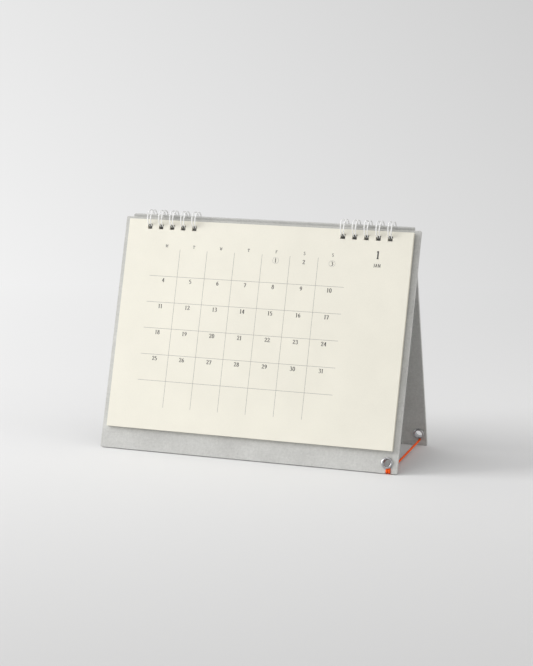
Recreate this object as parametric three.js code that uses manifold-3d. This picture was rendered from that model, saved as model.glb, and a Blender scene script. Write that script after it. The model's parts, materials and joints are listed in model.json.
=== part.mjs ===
// Easel desk calendar: two card boards and a block of leaves bound by two twin-loop wires,
// with an elastic cord between two eyelets that stops the boards from sliding apart.
// Millimetres, +Z up, the leaves face -Y.

import * as THREE from 'three';
import { mergeVertices } from 'three/addons/utils/BufferGeometryUtils.js';
import Module from 'manifold-3d';

const wasm = await Module();
wasm.setup();

// Boards
const boardWidth = 218;
const boardHeight = 165;
const boardThickness = 2;
const boardCornerRadius = 0.8;
const cornerSegments = 4;
const boardLean = THREE.MathUtils.degToRad(16.8);

// Stand board: cut to the front board's height, and narrower
const standSideInset = 5;
const standWidth = boardWidth - 2 * standSideInset;
const standHeight = boardHeight;
const standThickness = 2;
const standLean = THREE.MathUtils.degToRad(14.3);
const standShift = -0.5;
const topGap = 0.3;

// Leaves: the front board's margins show round them
const pageSideMargin = 4;
const pageTopMargin = 2;
const pageFootMargin = 15;
const pageWidth = boardWidth - 2 * pageSideMargin;
const pageHeight = boardHeight - pageTopMargin - pageFootMargin;
const pageBlockThickness = 2.2;
const pageSeatGap = 0.3;
const pageHangTilt = THREE.MathUtils.degToRad(0.35);

// Punched holes for the wires
const holeSide = 3.5;
const holePitch = 8.467;
const holesPerWire = 5;
const firstHoleFromPageEdge = 16.2;
const pageHoleFromTop = 5.05;
const frontHoleFromTop = 7;
const standHoleFromTop = 5.6;

// Twin-loop wires
const wireDiameter = 0.8;
const wireSides = 8;
const wireSideShift = -0.15;
const ringRadius = 5.95;
const ringCentreFromBoardTop = 0.77;
const ringCentreBeforeBoard = 0.52;
const loopWidth = 2.15;
const seamGap = 1.9;
const rootAngle = THREE.MathUtils.degToRad(-12);
const arcSteps = 14;
const spineBendSteps = 6;
const tipBendSteps = 4;

// Eyelets
const boreRadius = 2.5;
const barrelWall = 0.25;
const barrelClearance = 0.3;
const flangeRadius = 4;
const flangeRise = 0.75;
const crownRise = 0.1;
const flangeSeat = 0.35;
const boreRounding = 0.3;
const rimRounding = 0.2;
const rimUndercut = 0.1;
const rimHeight = 0.15;
const shoulderShare = 0.55;
const eyeletSegments = 32;
const frontEyeletFromSide = 7.3;
const frontEyeletFromFoot = 7;
const standEyeletFromSide = 5.5;
const standEyeletFromFoot = 9.3;

// Elastic cord
const cordDiameter = 1.5;
const cordSides = 8;
const cordStepsPerPoint = 3;
const cordPinch = 0.6;
const cordPinchRunIn = 0.7;
const cordGap = 0.15;
const cordLegSpacing = 1.7;
const cordSideShift = 1.2;
const standCordShift = 0.5;
const grooveDepth = 0.5;
const grooveClearance = 0.25;
const grooveRunOut = 1.3;
const grooveIntoHole = 1;
const grooveIntoNotch = 0.5;
const notchClearance = 0.3;
const notchDepth = cordDiameter + notchClearance;
const cutterOvershoot = 1;
const thickestSheet = Math.max(boardThickness, standThickness, pageBlockThickness);
const punchReach = 2 * (thickestSheet + cutterOvershoot);

// Colours
const colours = {
  board: 0xc9c9c5,
  paper: 0xf0ede0,
  wire: 0xf4f4f2,
  eyelet: 0xb9bbbd,
  cord: 0xf24a16,
};

function material(color, roughness, metalness) {
  return new THREE.MeshStandardMaterial({ color, roughness, metalness });
}

const boardMaterial = material(colours.board, 0.9, 0);
const paperMaterial = material(colours.paper, 0.85, 0);
const wireMaterial = material(colours.wire, 0.4, 0);
const eyeletMaterial = material(colours.eyelet, 0.3, 1);
const cordMaterial = material(colours.cord, 0.7, 0);

function namedMesh(name, geometry, surface) {
  const mesh = new THREE.Mesh(geometry, surface);
  mesh.name = name;
  return mesh;
}

// Places across the width

const holeReach = (holesPerWire - 1) * holePitch;
const leftHoleStart = -pageWidth / 2 + firstHoleFromPageEdge;
const rightHoleStart = pageWidth / 2 - firstHoleFromPageEdge - holeReach;

function holePlaces(start) {
  return Array.from({ length: holesPerWire }, (unused, index) => start + index * holePitch);
}

const allHolePlaces = [...holePlaces(leftHoleStart), ...holePlaces(rightHoleStart)];
const frontEyeletX = boardWidth / 2 - frontEyeletFromSide;
const standEyeletX = standWidth / 2 + standShift - standEyeletFromSide;

// Flat sheets: an outline in X and height, extruded to its thickness along -Y

function sheetOutline(left, right, height, radius) {
  const shape = new THREE.Shape();
  shape.moveTo(left + radius, 0);
  shape.lineTo(right - radius, 0);
  shape.absarc(right - radius, radius, radius, -Math.PI / 2, 0, false);
  shape.lineTo(right, height - radius);
  shape.absarc(right - radius, height - radius, radius, 0, Math.PI / 2, false);
  shape.lineTo(left + radius, height);
  shape.absarc(left + radius, height - radius, radius, Math.PI / 2, Math.PI, false);
  shape.lineTo(left, radius);
  shape.absarc(left + radius, radius, radius, Math.PI, 1.5 * Math.PI, false);
  return shape;
}

function sheet(shape, thickness) {
  const geometry = new THREE.ExtrudeGeometry(shape, {
    depth: thickness,
    bevelEnabled: false,
    curveSegments: cornerSegments,
  });
  geometry.rotateX(Math.PI / 2);
  return geometry;
}

// Booleans

function toManifold(geometry) {
  const bare = geometry.clone();
  bare.deleteAttribute('normal');
  bare.deleteAttribute('uv');
  const merged = mergeVertices(bare, 1e-4);
  return new wasm.Manifold(new wasm.Mesh({
    numProp: 3,
    vertProperties: new Float32Array(merged.attributes.position.array),
    triVerts: new Uint32Array(merged.index.array),
  }));
}

function toGeometry(solid) {
  const mesh = solid.getMesh();
  const geometry = new THREE.BufferGeometry();
  geometry.setAttribute('position', new THREE.BufferAttribute(new Float32Array(mesh.vertProperties), 3));
  geometry.setIndex(new THREE.BufferAttribute(new Uint32Array(mesh.triVerts), 1));
  geometry.computeVertexNormals();
  return geometry;
}

function cut(blank, tools) {
  const solid = tools.reduce((rest, tool) => rest.subtract(toManifold(tool)), toManifold(blank));
  return toGeometry(solid);
}

// Cutters. Each runs past the faces that it opens

function box(width, depth, height, x, y, z) {
  const geometry = new THREE.BoxGeometry(width, depth, height);
  geometry.translate(x, y, z);
  return geometry;
}

function squarePunches(places, z) {
  return places.map((x) => box(holeSide, punchReach, holeSide, x, 0, z));
}

function roundPunch(radius, x, z) {
  const geometry = new THREE.CylinderGeometry(radius, radius, punchReach, eyeletSegments);
  geometry.translate(x, 0, z);
  return geometry;
}

// The cord is pressed into the card below an eyelet: a shallow groove in the face at faceY,
// whose card lies towards inward

function grooveCutter(x, width, bottom, top, faceY, inward) {
  const middleY = faceY + inward * (grooveDepth - cutterOvershoot) / 2;
  return box(width, grooveDepth + cutterOvershoot, top - bottom, x, middleY, (bottom + top) / 2);
}

// Eyelets: a barrel through the card with a domed flange on each face

function eyelet(cardThickness) {
  const barrelRadius = boreRadius + barrelWall;
  const reach = cardThickness / 2 + flangeSeat;
  const crest = (boreRadius + flangeRadius) / 2;
  const profile = [
    [boreRadius, reach],
    [boreRadius + boreRounding, reach + flangeRise],
    [crest + crownRise, reach + flangeRise + crownRise],
    [flangeRadius - rimRounding, reach + flangeRise * shoulderShare],
    [flangeRadius, reach + rimHeight],
    [flangeRadius - rimUndercut, reach],
    [barrelRadius, reach],
  ];
  const mirrored = profile.map(([radius, height]) => [radius, -height]).reverse();
  const ring = [...profile, ...mirrored, profile[0]];
  const points = ring.map(([radius, height]) => new THREE.Vector2(radius, height));
  const geometry = new THREE.LatheGeometry(points.reverse(), eyeletSegments);
  return geometry;
}

// Tubes: one step between neighbouring points of the route

class RoutePath extends THREE.CatmullRomCurve3 {
  getUtoTmapping(share) {
    return share;
  }
}

function tube(points, diameter, sides, stepsPerPoint) {
  const section = new THREE.Shape();
  for (let side = 0; side < sides; side += 1) {
    const angle = (side + 0.5) * 2 * Math.PI / sides;
    const x = diameter / 2 * Math.cos(angle);
    const y = diameter / 2 * Math.sin(angle);
    if (side === 0) section.moveTo(x, y);
    else section.lineTo(x, y);
  }
  section.closePath();
  return new THREE.ExtrudeGeometry(section, {
    steps: (points.length - 1) * stepsPerPoint,
    extrudePath: new RoutePath(points, false, 'centripetal'),
    bevelEnabled: false,
  });
}

// Twin-loop wire: one wire runs round the ring in pairs that turn back at each tip and
// pass to the next pair in a wider bend at the seam behind the stand

function ringPoint(x, arcLength) {
  const angle = rootAngle - arcLength / ringRadius;
  return new THREE.Vector3(x, ringRadius * Math.cos(angle), ringRadius * Math.sin(angle));
}

function twinLoopWire(places) {
  const spineRadius = (holePitch - loopWidth) / 2;
  const tipRadius = loopWidth / 2;
  const turn = 2 * Math.PI * ringRadius;
  const tipArc = turn - seamGap - tipRadius;
  const points = [];
  const run = (x, from, to) => {
    for (let step = 0; step <= arcSteps; step += 1) {
      points.push(ringPoint(x, from + (to - from) * step / arcSteps));
    }
  };
  places.forEach((place, index) => {
    run(place - tipRadius, 0, tipArc);
    for (let step = 1; step < tipBendSteps; step += 1) {
      const angle = Math.PI * step / tipBendSteps;
      points.push(ringPoint(place - tipRadius * Math.cos(angle), tipArc + tipRadius * Math.sin(angle)));
    }
    run(place + tipRadius, tipArc, 0);
    if (index === places.length - 1) return;
    for (let step = 1; step < spineBendSteps; step += 1) {
      const angle = Math.PI * step / spineBendSteps;
      const x = place + holePitch / 2 - spineRadius * Math.cos(angle);
      points.push(ringPoint(x, -spineRadius * Math.sin(angle)));
    }
  });
  return tube(points, wireDiameter, wireSides, 1);
}

// Where the cord lies against the boards

const cordX = frontEyeletX + cordSideShift;
const cordFoldWidth = cordLegSpacing + cordDiameter + 2 * grooveClearance;
const cordStrandWidth = cordDiameter + 2 * grooveClearance;
const eyeletHoleRadius = boreRadius + barrelWall + barrelClearance;

// Front board, inner face at y = 0

function frontBoard() {
  const blank = sheet(
    sheetOutline(-boardWidth / 2, boardWidth / 2, boardHeight, boardCornerRadius), boardThickness,
  );
  const grooveTop = frontEyeletFromFoot - eyeletHoleRadius + grooveIntoHole;
  const grooveFoot = notchDepth - grooveIntoNotch;
  return cut(blank, [
    ...squarePunches(allHolePlaces, boardHeight - frontHoleFromTop),
    roundPunch(eyeletHoleRadius, frontEyeletX, frontEyeletFromFoot),
    box(cordFoldWidth, punchReach, 2 * notchDepth, cordX, 0, 0),
    grooveCutter(cordX, cordFoldWidth, grooveFoot, grooveTop, -boardThickness, 1),
  ]);
}

// Stand board, inner face at y = 0

function standBoard() {
  const left = standShift - standWidth / 2;
  const right = standShift + standWidth / 2;
  const blank = sheet(sheetOutline(left, right, standHeight, boardCornerRadius), standThickness);
  blank.translate(0, standThickness, 0);
  const grooveTop = standEyeletFromFoot - eyeletHoleRadius + grooveIntoHole;
  const grooveFoot = standEyeletFromFoot - flangeRadius - grooveRunOut;
  return cut(blank, [
    ...squarePunches(allHolePlaces, standHeight - standHoleFromTop),
    roundPunch(eyeletHoleRadius, standEyeletX, standEyeletFromFoot),
    grooveCutter(standEyeletX + standCordShift, cordStrandWidth, grooveFoot, grooveTop, 0, 1),
  ]);
}

// Leaves

function pageBlock() {
  const blank = box(
    pageWidth, pageBlockThickness, pageHeight, 0, -pageBlockThickness / 2, pageHeight / 2,
  );
  return cut(blank, squarePunches(allHolePlaces, pageHeight - pageHoleFromTop));
}

// Cord: the legs of its fold come down the front board's face side by side and pass under the
// board's edge in the notch. One of them runs taut to the stand, and the other is hitched over
// it behind the board. Points are in the frame of the boards' feet, chosen by hand, and stand in
// cord units, of which fifteen make the cord's diameter.

const cordUnit = cordDiameter / 15;
const standFootY = (topGap + boardHeight * Math.sin(boardLean + standLean)) / Math.cos(standLean);
const pinchMiddle = (-grooveDepth + cordGap + cordPinch / 2) / cordUnit;
const strandShares = [0.06, 0.5, 0.94];

const frontFace = {
  foot: new THREE.Vector3(
    cordX, -boardThickness * Math.cos(boardLean), boardThickness * Math.sin(boardLean),
  ),
  up: new THREE.Vector3(0, Math.sin(boardLean), Math.cos(boardLean)),
  out: new THREE.Vector3(0, -Math.cos(boardLean), Math.sin(boardLean)),
  rim: frontEyeletFromFoot - flangeRadius,
};

const standFace = {
  foot: new THREE.Vector3(standEyeletX + standCordShift, standFootY, 0),
  up: new THREE.Vector3(0, -Math.sin(standLean), Math.cos(standLean)),
  out: new THREE.Vector3(0, -Math.cos(standLean), -Math.sin(standLean)),
  rim: standEyeletFromFoot - flangeRadius,
};

function onFace(face, x, up, out) {
  const point = face.foot.clone();
  point.addScaledVector(face.up, up * cordUnit);
  point.addScaledVector(face.out, out * cordUnit);
  point.x += x * cordUnit;
  return point;
}

function behindFront(x, y, z) {
  return new THREE.Vector3(cordX + x * cordUnit, y * cordUnit, z * cordUnit);
}

function cordRoute() {
  const leg = cordLegSpacing / 2 / cordUnit;
  const strandStart = onFace(standFace, 0.5, 47.5, 20);
  const strandEnd = behindFront(-3, 90, 17.5);
  return [
    onFace(standFace, 0, 61, pinchMiddle),
    onFace(standFace, 0, 56, pinchMiddle),
    onFace(standFace, 0, 50, 3),
    onFace(standFace, 0, 47.2, 11),
    strandStart,
    ...strandShares.map((share) => strandStart.clone().lerp(strandEnd, share)),
    strandEnd,
    behindFront(-2.5, 65, 13),
    behindFront(-6, 40, 10),
    behindFront(-8.5, 20, 9.2),
    onFace(frontFace, -leg, 9, -17),
    onFace(frontFace, -leg, 9, -6),
    onFace(frontFace, -leg, 11, 1.5),
    onFace(frontFace, -leg, 19, 4.8),
    onFace(frontFace, -leg + 0.5, 26, 2.5),
    onFace(frontFace, -7, 31.5, pinchMiddle),
    onFace(frontFace, -3, 34.5, pinchMiddle),
    onFace(frontFace, 3, 34.5, pinchMiddle),
    onFace(frontFace, 7, 31.5, pinchMiddle),
    onFace(frontFace, leg - 0.5, 26, 2.5),
    onFace(frontFace, leg, 19, 4.8),
    onFace(frontFace, leg, 11, 1.5),
    onFace(frontFace, leg, 9, -6),
    onFace(frontFace, leg, 9, -17),
    behindFront(10, 20, 9.2),
    behindFront(13, 40, 9.5),
    behindFront(14, 60, 13),
    behindFront(7.5, 74, 28),
    behindFront(-5, 79, 32),
    behindFront(-17.5, 75, 23),
    behindFront(-20, 62, 10.5),
    behindFront(-22, 48, 9.5),
  ];
}

// Under a flange the elastic is squeezed flat against the card

function pinchUnderFlange(geometry, face) {
  const pinchedOut = pinchMiddle * cordUnit;
  const position = geometry.attributes.position;
  const point = new THREE.Vector3();
  for (let index = 0; index < position.count; index += 1) {
    point.fromBufferAttribute(position, index);
    const reach = point.clone().sub(face.foot);
    const out = reach.dot(face.out);
    const up = reach.dot(face.up);
    const share = THREE.MathUtils.smoothstep(up, face.rim - cordPinchRunIn, face.rim);
    if (Math.abs(out) < cordDiameter) {
      const squeezed = pinchedOut + (out - pinchedOut) * cordPinch / cordDiameter;
      point.addScaledVector(face.out, (squeezed - out) * share);
      position.setXYZ(index, point.x, point.y, point.z);
    }
  }
}

function elasticCord() {
  const geometry = tube(cordRoute(), cordDiameter, cordSides, cordStepsPerPoint);
  pinchUnderFlange(geometry, frontFace);
  pinchUnderFlange(geometry, standFace);
  return geometry;
}

// Assembly

const front = new THREE.Group();
front.rotation.x = -boardLean;

front.add(namedMesh('front_board', frontBoard(), boardMaterial));

const pages = new THREE.Group();
pages.position.set(0, -boardThickness - pageSeatGap, pageFootMargin);
pages.rotation.x = pageHangTilt;
pages.add(namedMesh('page_block', pageBlock(), paperMaterial));
front.add(pages);

const frontEyelet = namedMesh('front_eyelet', eyelet(boardThickness), eyeletMaterial);
frontEyelet.position.set(frontEyeletX, -boardThickness / 2, frontEyeletFromFoot);
front.add(frontEyelet);

const rings = new THREE.Group();
rings.position.set(
  wireSideShift, -boardThickness - ringCentreBeforeBoard, boardHeight - ringCentreFromBoardTop,
);
rings.rotation.x = boardLean;
rings.add(namedMesh('ring_wire_left', twinLoopWire(holePlaces(leftHoleStart)), wireMaterial));
rings.add(namedMesh('ring_wire_right', twinLoopWire(holePlaces(rightHoleStart)), wireMaterial));
front.add(rings);

const stand = new THREE.Group();
stand.position.set(0, standFootY, 0);
stand.rotation.x = standLean;
stand.add(namedMesh('back_board', standBoard(), boardMaterial));
const backEyelet = namedMesh('back_eyelet', eyelet(standThickness), eyeletMaterial);
backEyelet.position.set(standEyeletX, standThickness / 2, standEyeletFromFoot);
stand.add(backEyelet);

const calendar = new THREE.Group();
calendar.add(front, stand, namedMesh('cord', elasticCord(), cordMaterial));
calendar.updateMatrixWorld(true);
const bounds = new THREE.Box3().setFromObject(calendar, true);
const centre = bounds.getCenter(new THREE.Vector3());
calendar.position.set(-centre.x, -centre.y, -bounds.min.z);

export default calendar;
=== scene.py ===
"""Easel desk calendar: the looks of its boards, leaves, wires, eyelets and elastic cord."""

import json
import math
import random

import bmesh
import bpy
from bpy.props import FloatProperty, FloatVectorProperty, IntProperty, PointerProperty
from bpy.types import Operator, Panel, PropertyGroup
from mathutils import Matrix, Vector
from mathutils.geometry import tessellate_polygon


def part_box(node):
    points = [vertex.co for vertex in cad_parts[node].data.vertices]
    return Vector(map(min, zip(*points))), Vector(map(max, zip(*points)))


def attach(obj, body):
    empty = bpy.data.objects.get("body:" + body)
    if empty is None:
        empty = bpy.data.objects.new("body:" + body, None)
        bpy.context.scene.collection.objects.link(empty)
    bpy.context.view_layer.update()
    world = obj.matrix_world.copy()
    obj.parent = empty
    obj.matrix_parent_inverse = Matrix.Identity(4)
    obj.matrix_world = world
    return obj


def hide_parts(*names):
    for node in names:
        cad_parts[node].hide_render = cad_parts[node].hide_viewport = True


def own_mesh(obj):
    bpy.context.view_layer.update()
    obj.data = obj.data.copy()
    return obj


bl_info = {
    "name": "Easel desk calendar",
    "version": (1, 0, 0),
    "blender": (4, 5, 0),
    "location": "3D View > Sidebar > Calendar",
    "description": "Builds an easel desk calendar with twin-loop wires and an elastic cord",
    "category": "Object",
}

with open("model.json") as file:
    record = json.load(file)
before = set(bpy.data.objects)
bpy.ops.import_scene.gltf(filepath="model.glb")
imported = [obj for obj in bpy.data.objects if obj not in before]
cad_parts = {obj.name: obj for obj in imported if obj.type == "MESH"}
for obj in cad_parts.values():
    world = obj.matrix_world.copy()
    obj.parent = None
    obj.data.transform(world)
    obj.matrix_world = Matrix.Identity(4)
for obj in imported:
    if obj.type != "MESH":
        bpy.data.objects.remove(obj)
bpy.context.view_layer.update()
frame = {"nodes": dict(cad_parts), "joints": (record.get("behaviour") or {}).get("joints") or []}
MM = 0.001


# Sizes and colours

def size(name, description, default):
    """A length in millimetres."""
    return FloatProperty(name=name, description=description, default=default, precision=3)


def turn(name, description, degrees):
    """An angle, kept in radians and shown in degrees."""
    return FloatProperty(
        name=name, description=description, default=math.radians(degrees), subtype="ANGLE"
    )


def colour(name, description, default):
    """A colour in linear values."""
    return FloatVectorProperty(
        name=name, description=description, default=default, size=3, subtype="COLOR", min=0, max=1
    )


class CalendarSizes(PropertyGroup):
    """Sizes in millimetres and angles of the calendar."""

    board_thickness: size("Card thickness", "Thickness of both boards", 2.0)
    board_lean: turn("Front lean", "Lean of the front board from upright", 16.8)
    stand_lean: turn("Stand lean", "Lean of the stand from upright", 14.3)
    card_edge: size("Card edge", "Rounding of the cut card's edges", 0.12)

    page_width: size("Leaf width", "Width of a leaf", 210.0)
    page_height: size("Leaf height", "Height of a leaf", 148.0)
    page_depth: size("Block depth", "Thickness of the block of leaves", 2.2)
    page_foot: size("Leaf foot", "Height of the leaves' foot on the front board", 15.0)
    page_seat: size("Leaf seat", "Gap between the leaves and the card", 0.3)
    page_tilt: turn("Leaf tilt", "How far the leaves hang off the card", 0.35)
    leaf_gap: size("Leaf gap", "Air between two leaves", 0.035)
    leaf_stray: size("Leaf stray", "Largest sideways stray of a leaf", 0.14)
    leaf_count: IntProperty(name="Leaves", description="Number of leaves", default=13, min=2)

    hole_side: size("Hole side", "Side of a square punched hole", 3.5)
    hole_pitch: size("Hole pitch", "Distance between two holes", 8.467)
    hole_inset: size("Hole inset", "From the leaf's side to the first hole", 16.2)
    hole_drop: size("Hole drop", "From the leaf's top to the holes", 5.05)
    holes_per_wire: IntProperty(name="Holes per wire", description="Holes of a wire", default=5)

    ring_radius: size("Ring radius", "From the ring's centre to the wire", 5.95)
    wire_diameter: size("Wire diameter", "Thickness of the coated wire", 0.8)
    wire_shift: size("Wire shift", "How far the wires sit aside in the holes", -0.15)
    loop_width: size("Loop width", "Distance between the two wires of a loop", 2.15)
    loop_waist: size("Loop waist", "How much a loop narrows in the holes and widens above", 0.5)
    seam_gap: size("Seam gap", "Opening that the loops' tips leave at the seam", 1.9)
    root_angle: turn("Seam angle", "Where the wires meet behind the stand", -12.0)

    bore_radius: size("Bore radius", "Radius of the eyelet's bore", 2.5)
    barrel_wall: size("Barrel wall", "Thickness of the eyelet's barrel", 0.25)
    flange_radius: size("Flange radius", "Outer radius of the eyelet", 4.0)
    flange_rise: size("Flange rise", "Height of the eyelet's rolled rim", 0.85)
    flange_seat: size("Flange seat", "From the card's face to the rim's underside", 0.35)

    cord_diameter: size("Cord diameter", "Thickness of the elastic", 1.5)
    cord_pinch: size("Cord pinch", "Thickness of the elastic under a flange", 0.6)
    cord_leg: size("Cord legs", "Distance between the fold's two legs", 1.7)


class CalendarColours(PropertyGroup):
    """Colours of the calendar and its floor."""

    card: colour("Card", "Grey chipboard", (0.6, 0.6, 0.58))
    card_dark: colour("Card fibre", "Darker fibres of the chipboard", (0.38, 0.38, 0.365))
    card_edge: colour("Cut edge", "Cut edge of the chipboard", (0.62, 0.62, 0.60))
    paper: colour("Paper", "Cream paper", (0.81, 0.785, 0.69))
    ink: colour("Ink", "Grey printing ink", (0.05, 0.048, 0.048))
    rule: colour("Rules", "Fine rules of the month grid", (0.29, 0.28, 0.265))
    wire: colour("Wire", "White coating of the wires", (0.88, 0.88, 0.87))
    # Darker than bright nickel: partly a dull plate, partly painted shade for the eyelets' dark
    # reflections inside the stand
    eyelet: colour("Eyelet", "Nickel plate", (0.47, 0.47, 0.48))
    cord: colour("Elastic", "Orange elastic", (1.0, 0.14, 0.01))
    # The darker orange fills the braid's grooves: painted shade between the yarns
    cord_dark: colour("Elastic shade", "Darker yarns of the elastic", (0.82, 0.07, 0.006))
    floor: colour("Floor", "Pale table", (0.76, 0.76, 0.76))


def sizes():
    """The scene's sizes."""
    return bpy.context.scene.calendar_sizes


def colours():
    """The scene's colours."""
    return bpy.context.scene.calendar_colours


def dimmed(shade, share):
    """A colour with each channel times a share."""
    return tuple(channel * share for channel in shade)


# Shader expressions

# Numbers of a Mix node's colour sockets, whose names it uses more than once
MIX_FIRST = 6
MIX_SECOND = 7
MIX_RESULT = 2


class Socket:
    """A shader socket that Python's operators work on."""

    def __init__(self, nodes, socket):
        self.nodes = nodes
        self.socket = socket

    def __add__(self, other):
        return self.nodes.math("ADD", self, other)

    def __radd__(self, other):
        return self.nodes.math("ADD", other, self)

    def __sub__(self, other):
        return self.nodes.math("SUBTRACT", self, other)

    def __rsub__(self, other):
        return self.nodes.math("SUBTRACT", other, self)

    def __mul__(self, other):
        return self.nodes.math("MULTIPLY", self, other)

    def __rmul__(self, other):
        return self.nodes.math("MULTIPLY", other, self)

    def __truediv__(self, other):
        return self.nodes.math("DIVIDE", self, other)

    def __rtruediv__(self, other):
        return self.nodes.math("DIVIDE", other, self)

    def out(self, name):
        """Another output of the same node, by its name or number."""
        return Socket(self.nodes, self.socket.node.outputs[name])


class Nodes:
    """A material's node tree."""

    def __init__(self, name):
        self.material = bpy.data.materials.new(name)
        self.material.use_nodes = True
        self.tree = self.material.node_tree
        self.surface = self.tree.nodes["Principled BSDF"]

    def add(self, kind, settings=None, inputs=None):
        """A node of a type, with its settings first and then its sockets' values or links."""
        node = self.tree.nodes.new(kind)
        for key, value in (settings or {}).items():
            setattr(node, key, value)
        for key, value in (inputs or {}).items():
            self.feed(node.inputs[key], value)
        output = next(socket for socket in node.outputs if socket.enabled)
        return Socket(self, output)

    def feed(self, socket, value):
        """Links a Socket to a node's socket, or sets its value."""
        if isinstance(value, Socket):
            self.tree.links.new(value.socket, socket)
        elif socket.type == "RGBA":
            socket.default_value = (*value, 1)
        else:
            socket.default_value = value

    def math(self, operation, first, second=0.0):
        """A Math node on two values or sockets."""
        return self.add("ShaderNodeMath", {"operation": operation}, {0: first, 1: second})

    def place(self):
        """A point of the surface, in metres of the calendar's own frame."""
        return self.add("ShaderNodeTexCoord").out("Object")

    def scaled(self, scale, turned=(0, 0, 0)):
        """The surface's points turned and scaled for each axis."""
        return self.add(
            "ShaderNodeMapping", None, {"Vector": self.place(), "Rotation": turned, "Scale": scale}
        )

    def noise(self, vector, scale, detail=3.0, roughness=0.5):
        """Noise from 0 to 1."""
        return self.add(
            "ShaderNodeTexNoise", None,
            {"Vector": vector, "Scale": scale, "Detail": detail, "Roughness": roughness},
        )

    def mix(self, share, first, second):
        """A mix of two colours."""
        inputs = {0: share, MIX_FIRST: first, MIX_SECOND: second}
        return self.add("ShaderNodeMix", {"data_type": "RGBA"}, inputs).out(MIX_RESULT)

    def ramp(self, value, low, high):
        """A value cut and stretched from a low to a high place."""
        return self.add(
            "ShaderNodeMapRange", None,
            {"Value": value, "From Min": low, "From Max": high, "To Min": 0.0, "To Max": 1.0},
        )

    def bump(self, height, strength, distance):
        """A bump from a height of 0 to 1, with its full depth in metres."""
        normal = self.add(
            "ShaderNodeBump", None, {"Height": height, "Strength": strength, "Distance": distance}
        )
        self.feed(self.surface.inputs["Normal"], normal)

    def set(self, **values):
        """Values or links of the surface's own sockets."""
        for name, value in values.items():
            label = name.replace("_", " ").title().replace("Ior", "IOR")
            self.feed(self.surface.inputs[label], value)


def card_material(name):
    """Grey chipboard: matted fibres and darker flecks; the lighter cut edge in layers is
    edge_material's.
    """
    nodes = Nodes(name)
    shades = colours()
    place = nodes.place()
    cloud = nodes.noise(place, 42.0, 4.0, 0.6)
    grain = nodes.noise(place, 620.0, 4.0, 0.65)
    fibre = nodes.noise(nodes.scaled((160.0, 900.0, 900.0), (0.0, 0.35, 0.0)), 1.0, 3.0, 0.6)
    cross = nodes.noise(nodes.scaled((900.0, 900.0, 160.0), (0.0, -0.5, 0.0)), 1.0, 3.0, 0.6)
    fleck = nodes.ramp(nodes.noise(place, 1500.0, 2.0, 0.5), 0.66, 0.72)
    mottle = nodes.ramp(cloud * 0.35 + grain * 0.35 + fibre * 0.15 + cross * 0.15, 0.38, 0.62)
    face = nodes.mix(mottle, shades.card_dark, shades.card)
    lighter = nodes.mix(0.4, face, shades.card)
    flecked = nodes.mix(fleck * 0.35, lighter, shades.card_dark)
    nodes.set(base_color=flecked, roughness=0.88 + grain * 0.1)
    nodes.set(specular_ior_level=0.25)
    nodes.bump(grain * 0.4 + fibre * 0.3 + cross * 0.3, 0.5, 0.00012)
    return nodes.material


def edge_material():
    """The cut edge of the chipboard: pale, with its layers along the sheet."""
    nodes = Nodes("card_edge")
    shades = colours()
    layer = nodes.noise(nodes.scaled((60.0, 2600.0, 60.0)), 1.0, 2.0, 0.6)
    grain = nodes.noise(nodes.place(), 900.0, 3.0, 0.6)
    tone = nodes.ramp(layer * 0.6 + grain * 0.4, 0.35, 0.65)
    nodes.set(base_color=nodes.mix(tone, shades.card, shades.card_edge))
    nodes.set(roughness=0.92, specular_ior_level=0.2)
    nodes.bump(tone, 0.6, 0.00015)
    return nodes.material


def paper_material():
    """Uncoated cream paper with a soft tooth."""
    nodes = Nodes("leaf_paper")
    shades = colours()
    place = nodes.place()
    cloud = nodes.noise(place, 30.0, 3.0, 0.55)
    tooth = nodes.noise(place, 1400.0, 4.0, 0.6)
    deep = dimmed(shades.paper, 0.955)
    tone = nodes.ramp(cloud * 0.6 + tooth * 0.4, 0.38, 0.62)
    nodes.set(base_color=nodes.mix(tone, deep, shades.paper), roughness=0.8 + tooth * 0.15)
    nodes.set(specular_ior_level=0.3)
    nodes.bump(tooth, 0.25, 0.00004)
    return nodes.material


def ink_material(name, shade):
    """Printing ink that the paper's tooth breaks up a little."""
    nodes = Nodes(name)
    tooth = nodes.noise(nodes.place(), 2600.0, 2.0, 0.5)
    broken = nodes.ramp(tooth, 0.4, 0.7)
    nodes.set(base_color=nodes.mix(broken, shade, dimmed(shade, 1.35)))
    nodes.set(roughness=0.7)
    return nodes.material


def wire_material():
    """White nylon coating with a slight orange peel."""
    nodes = Nodes("wire_coating")
    shade = colours().wire
    peel = nodes.noise(nodes.place(), 1800.0, 2.0, 0.5)
    smooth = nodes.ramp(peel, 0.35, 0.65)
    nodes.set(base_color=nodes.mix(smooth, dimmed(shade, 0.93), shade))
    nodes.set(roughness=0.28 + peel * 0.12, coat_weight=0.3, coat_roughness=0.2)
    nodes.bump(peel, 0.15, 0.00003)
    return nodes.material


def eyelet_material():
    """Nickel plate with fine press lines and a few dull spots."""
    nodes = Nodes("eyelet_nickel")
    # The nickel colour carries painted shade as well as the plate's dullness
    shade = colours().eyelet
    place = nodes.place()
    dull = nodes.noise(place, 700.0, 3.0, 0.6)
    fine = nodes.noise(place, 5200.0, 2.0, 0.5)
    tarnish = nodes.ramp(dull, 0.45, 0.7)
    nodes.set(base_color=nodes.mix(tarnish, shade, dimmed(shade, 0.8)))
    nodes.set(metallic=1.0, roughness=0.2 + dull * 0.2)
    nodes.bump(fine, 0.1, 0.00002)
    return nodes.material


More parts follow.
